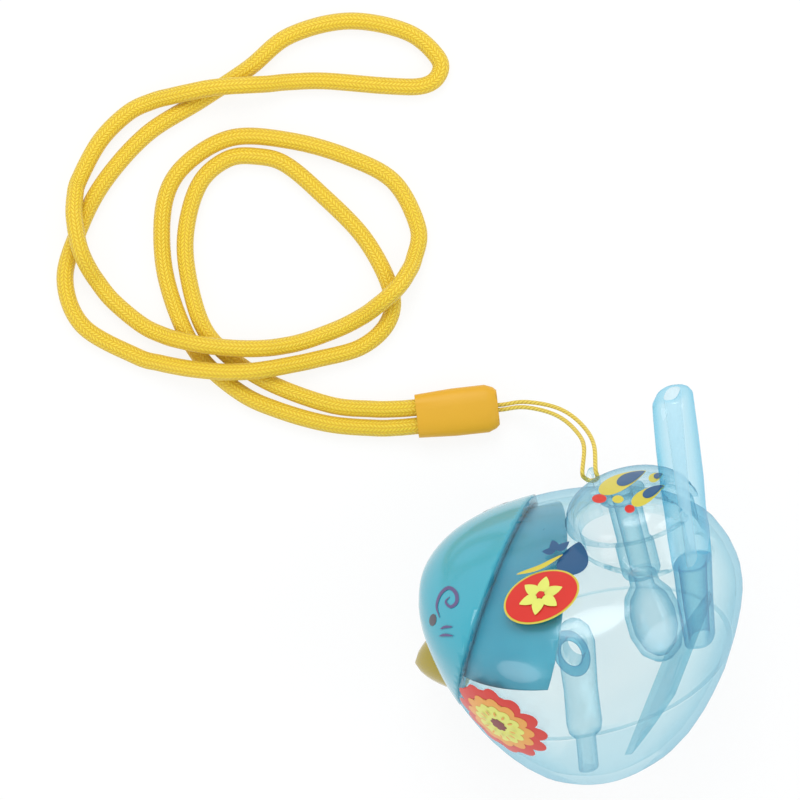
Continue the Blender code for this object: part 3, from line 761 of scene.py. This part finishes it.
class WHISTLE_OT_works(bpy.types.Operator):
    """Dresses the mouthpiece and the works inside the body"""

    bl_idname = "whistle.works"
    bl_label = "Mouthpiece and works"

    def execute(self, context):
        plastic = settings()[1]
        inward = BIRD.inverted()

        def middle(height):
            """How far forward the mouthpiece's middle is at a height over the seam, in mm."""
            return MOUTHPIECE_AT[0] - (height - MOUTHPIECE_AT[1]) * MOUTHPIECE_LEAN

        def wider(point):
            """Widens the mouthpiece towards its flat tip."""
            p = inward @ point / MM
            t = min(1.0, max(0.0, (p.z - 36.0) / 30.9))
            x = middle(p.z) + (p.x - middle(p.z)) * (1.0 + 0.75 * t)
            return BIRD @ (Vector((x, p.y * (1.0 + 0.12 * t), p.z - 1.5 * t)) * MM)

        for node in WORKS:
            skin = clear_plastic(node + "_clear", *CLEAR[node], plastic.roughness, 0.03, 1.5)
            smooth_copy(node, skin, reshape=wider if node == "mouthpiece" else None)

        mouthpiece = bpy.data.objects["mouthpiece_skin"].data
        mouthpiece.materials.append(slot_frost())
        for face in mouthpiece.polygons:
            p = inward @ face.center / MM
            upright = abs((inward.to_3x3() @ face.normal).z) < 0.6
            if upright and abs(p.x - middle(p.z)) < 2.0 and abs(p.y) < 3.5:
                face.material_index = 1

        bm = bmesh.new()
        start = bmesh.ops.create_circle(bm, segments=14, radius=0.95 * MM)["verts"]
        bmesh.ops.rotate(bm, verts=start, cent=(0, 0, 0), matrix=Matrix.Rotation(math.pi / 2, 3, "X"))
        bmesh.ops.translate(bm, verts=start, vec=(3.3 * MM, 0, 0))
        bmesh.ops.spin(bm, geom=bm.verts[:] + bm.edges[:], cent=(0, 0, 0), axis=(0, 0, 1), dvec=(0, 0, 0),
                       angle=2 * math.pi, steps=40, use_merge=True)
        bmesh.ops.remove_doubles(bm, verts=bm.verts, dist=1e-6)
        bmesh.ops.scale(bm, verts=bm.verts, vec=(1.0, 1.42, 0.8))
        bmesh.ops.recalc_face_normals(bm, faces=bm.faces)
        at = Matrix.Translation(Vector((1.9, 11.0, 9.0)) * MM)
        bm.transform(BIRD @ at @ Matrix.Rotation(math.radians(-90), 4, "X"))
        skin = clear_plastic("ring_clear", *CLEAR["window_ring"], plastic.roughness, 0.06, 1.2)
        ring = from_bmesh(bm, "window_ring", skin)
        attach(ring, "root")
        return {"FINISHED"}


class WHISTLE_OT_head(bpy.types.Operator):
    """Dresses the opaque head cap, the beak and the blue wall behind the head"""

    bl_idname = "whistle.head"
    bl_label = "Head"

    def execute(self, context):
        plastic = settings()[1]
        cap = body_surface(CAP_PROUD)
        cut_body(cap, *RIM, True)
        cut_body(cap, 90.0, SEAM_GAP, True)
        blue = moulded("cap_blue", tuple(plastic.cap), 0.15, coat=0.15)
        walled(cap, "head_cap_skin", CAP_WALL, "head_cap", blue)

        inward = BIRD.inverted()

        def larger(point):
            """Fills the beak out sideways and in height, from the middle of its base."""
            p = inward @ point / MM
            t = min(1.0, max(0.0, (44.0 - p.x) / 10.0))
            return BIRD @ (Vector((p.x, p.y * (1 + 0.70 * t), 4.0 + (p.z - 4.0) * (1 + 0.35 * t))) * MM)

        smooth_copy("beak", moulded("beak_olive", tuple(plastic.beak), 0.16, coat=0.15), 40.0, larger)

        chamber = body_surface(-CHAMBER_INSET)
        cut_body(chamber, RIM[0], RIM[1] - RIM_GAP, False)
        cut_body(chamber, *CHAMBER_BACK, True, CHAMBER_SLANT)
        cut_body(chamber, 90.0, CHAMBER_FLOOR, True)
        walled(chamber, "front_chamber", CHAMBER_WALL, "front_bulkhead", chamber_blue(tuple(plastic.inside)))
        return {"FINISHED"}


class WHISTLE_OT_prints(bpy.types.Operator):
    """Prints the face on both sides of the head, drops on the lid and simple flowers on the near flank"""

    bl_idname = "whistle.prints"
    bl_label = "Prints"

    def execute(self, context):
        lift = settings()[1].print_lift
        dark, violet = ink("ink_eye", (0.080, 0.072, 0.092)), ink("ink_violet", (0.115, 0.088, 0.235))
        red, orange = ink("ink_red", (0.68, 0.028, 0.017)), ink("ink_orange", (0.83, 0.37, 0.055))
        pale, yellow = ink("ink_pale", (0.75, 0.79, 0.155)), ink("ink_yellow", (0.66, 0.56, 0.06))
        blue, maroon = ink("ink_blue", (0.016, 0.095, 0.23)), ink("ink_maroon", (0.20, 0.010, 0.012))

        head = onto_picture(target(offset=CAP_PROUD))
        curl = [(440, 618), (437, 606), (441, 594), (449, 588), (456, 593), (457, 602), (451, 607),
                (446, 602), (450, 597)]
        face = printed("face_print", [dark, violet], [
            (0, oval(433, 620, 3.5, 6.0, 8)),
            (1, stroke(curl, 3.6, 6)),
            (1, stroke([(441, 629), (446, 627), (453, 627)], 2.6)),
            (1, stroke([(440, 636), (446, 635), (454, 636)], 2.6)),
        ], head, lift * 1.6, 1.0)

        lid = onto_picture(target(name="back_lid_skin"))
        lid_print = printed("lid_print", [yellow, blue, red], [
            (0, drop(599, 492, 646, 471, 8.5)),
            (1, drop(617, 484, 645, 471.5, 5.5)),
            (0, drop(632, 505, 664, 485.5, 7.0)),
            (1, drop(643, 497, 663, 486, 4.6)),
            (0, drop(649, 481, 663, 475, 4.5)),
            (1, drop(654, 478.5, 662.5, 475, 2.8)),
            (2, oval(600, 500, 7.2, 4.4)),
            (2, oval(630, 510, 5.0, 4.0)),
            (0, oval(618.5, 501, 5.6, 3.8)),
        ], lid, lift * 1.4, 1.5, mirror=False)

        body = target(offset=CAP_PROUD)
        rings = [
            (0, scallops(0, 0, 11.6, 2.0, 12)), (1, scallops(0, 0, 8.7, 1.5, 12)),
            (2, scallops(0, 0, 6.4, 1.1, 12)), (3, scallops(0, 0, 2.1, 0.5, 8)),
        ]
        for k in range(12):
            a = math.radians(30 * k + 15)
            rings.append((1, oval(3.9 * math.cos(a), 3.9 * math.sin(a), 0.75, 0.26, 30 * k + 15, 12)))
        rosette = printed("breast_print", [red, orange, pale, maroon], rings, onto_tangent(body, 499, 724),
                          lift * 1.4, 0.8, mirror=False)

        wing = [(2, drop(5.9, 4.9, 7.0, 14.9, 3.5))]
        wing += [(1, oval(0, 0, 8.6, 6.7, 18, 48)), (0, oval(0, 0, 8.15, 6.25, 18, 48))]
        for k in range(6):
            a = math.radians(60 * k + 20)
            c, d = math.cos(a), math.sin(a)
            wing.append((3, drop(0.9 * c, 0.9 * d, 5.0 * c, 5.0 * d, 1.35)))
        wing += [(0, oval(0, 0, 0.9, 0.9, 0, 18))]
        wing += [
            (1, stroke([(-5.9, 6.3), (-0.8, 7.5), (4.0, 10.6)], 1.4)),
            (2, drop(2.2, 11.8, -0.8, 12.2, 1.1)),
            (2, drop(2.3, 12.0, 1.1, 15.4, 1.1)),
            (2, drop(2.7, 11.8, 5.0, 14.4, 1.1)),
        ]
        flank = printed("wing_print", [red, yellow, blue, pale], wing, onto_tangent(body, 541, 596),
                        lift * 1.4, 0.8, mirror=False)
        return {"FINISHED"}


class WHISTLE_OT_stage(bpy.types.Operator):
    """Lays the white floor and hangs the soft lamps"""

    bl_idname = "whistle.stage"
    bl_label = "Floor and light"

    def execute(self, context):
        stage = settings()[2]
        bm = bmesh.new()
        bmesh.ops.create_grid(bm, x_segments=4, y_segments=4, size=4.0)
        bmesh.ops.translate(bm, verts=bm.verts, vec=(0, 0, -0.00015))
        g = Graph("floor_white")
        glow = g.node("Emission", {"Color": (1.0, 1.0, 1.0), "Strength": 1.0}).outputs[0]
        paper = g.node("BsdfDiffuse", {"Color": (0.97, 0.97, 0.97)}).outputs[0]
        floor = from_bmesh(bm, "floor", g.shade(g.blend(0.16, glow, paper)))

        world = bpy.data.worlds.new("room")
        world.use_nodes = True
        context.scene.world = world
        tree = world.node_tree
        tree.nodes.clear()
        out = tree.nodes.new("ShaderNodeOutputWorld")
        seen = tree.nodes.new("ShaderNodeLightPath")
        blend = tree.nodes.new("ShaderNodeMixShader")
        room = tree.nodes.new("ShaderNodeBackground")
        room.inputs["Strength"].default_value = stage.sky
        backdrop = tree.nodes.new("ShaderNodeBackground")
        backdrop.inputs["Strength"].default_value = 1.0
        for background in (room, backdrop):
            background.inputs["Color"].default_value = (1, 1, 1, 1)
        tree.links.new(seen.outputs["Is Camera Ray"], blend.inputs[0])
        tree.links.new(room.outputs[0], blend.inputs[1])
        tree.links.new(backdrop.outputs[0], blend.inputs[2])
        tree.links.new(blend.outputs[0], out.inputs["Surface"])

        self.lamp("key_lamp", (-0.10, 0.42, 0.55), 0.45, stage.key)
        self.lamp("fill_lamp", (0.50, -0.05, 0.45), 0.40, stage.fill)
        self.lamp("low_lamp", (-0.45, -0.30, 0.35), 0.35, stage.fill * 0.7)
        return {"FINISHED"}

    def lamp(self, name, at, size, watts):
        """Hangs a round soft lamp that looks at the middle of the bird."""
        data = bpy.data.lights.new(name, "AREA")
        data.shape = "DISK"
        data.size = size
        data.energy = watts
        lamp = link(bpy.data.objects.new(name, data))
        lamp.location = at
        lamp.rotation_euler = (Vector((0, 0, 0.02)) - Vector(at)).to_track_quat("-Z", "Y").to_euler()


class WHISTLE_PT_panel(bpy.types.Panel):
    """Lists the settings and the steps"""

    bl_label = "Bird Whistle"
    bl_idname = "WHISTLE_PT_panel"
    bl_space_type = "VIEW_3D"
    bl_region_type = "UI"
    bl_category = "Whistle"

    def draw(self, context):
        for group, steps in STEPS:
            box = self.layout.box()
            if group:
                values = getattr(context.scene, group)
                for key in values.__annotations__:
                    box.prop(values, key)
            for step in steps:
                box.operator(step.bl_idname)


STEPS = [
    ("whistle_cord", [WHISTLE_OT_camera, WHISTLE_OT_lanyard]),
    ("whistle_plastic", [WHISTLE_OT_shells, WHISTLE_OT_works, WHISTLE_OT_head, WHISTLE_OT_prints]),
    ("whistle_stage", [WHISTLE_OT_stage]),
]
GROUPS = {"whistle_cord": WhistleCord, "whistle_plastic": WhistlePlastic, "whistle_stage": WhistleStage}
CLASSES = [*GROUPS.values(), *[step for _, steps in STEPS for step in steps], WHISTLE_PT_panel]


def register():
    for cls in CLASSES:
        bpy.utils.register_class(cls)
    for name, group in GROUPS.items():
        setattr(bpy.types.Scene, name, bpy.props.PointerProperty(type=group))


def unregister():
    for name in GROUPS:
        delattr(bpy.types.Scene, name)
    for cls in reversed(CLASSES):
        bpy.utils.unregister_class(cls)


def main():
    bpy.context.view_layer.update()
    register()
    scene = bpy.context.scene
    scene.view_settings.view_transform = "Standard"
    scene.cycles.transparent_max_bounces = 32
    bpy.ops.whistle.camera()
    bpy.ops.whistle.lanyard()
    bpy.ops.whistle.shells()
    bpy.ops.whistle.works()
    bpy.ops.whistle.head()
    bpy.ops.whistle.prints()
    bpy.ops.whistle.stage()
    bpy.context.view_layer.update()


if __name__ == "__main__":
    main()
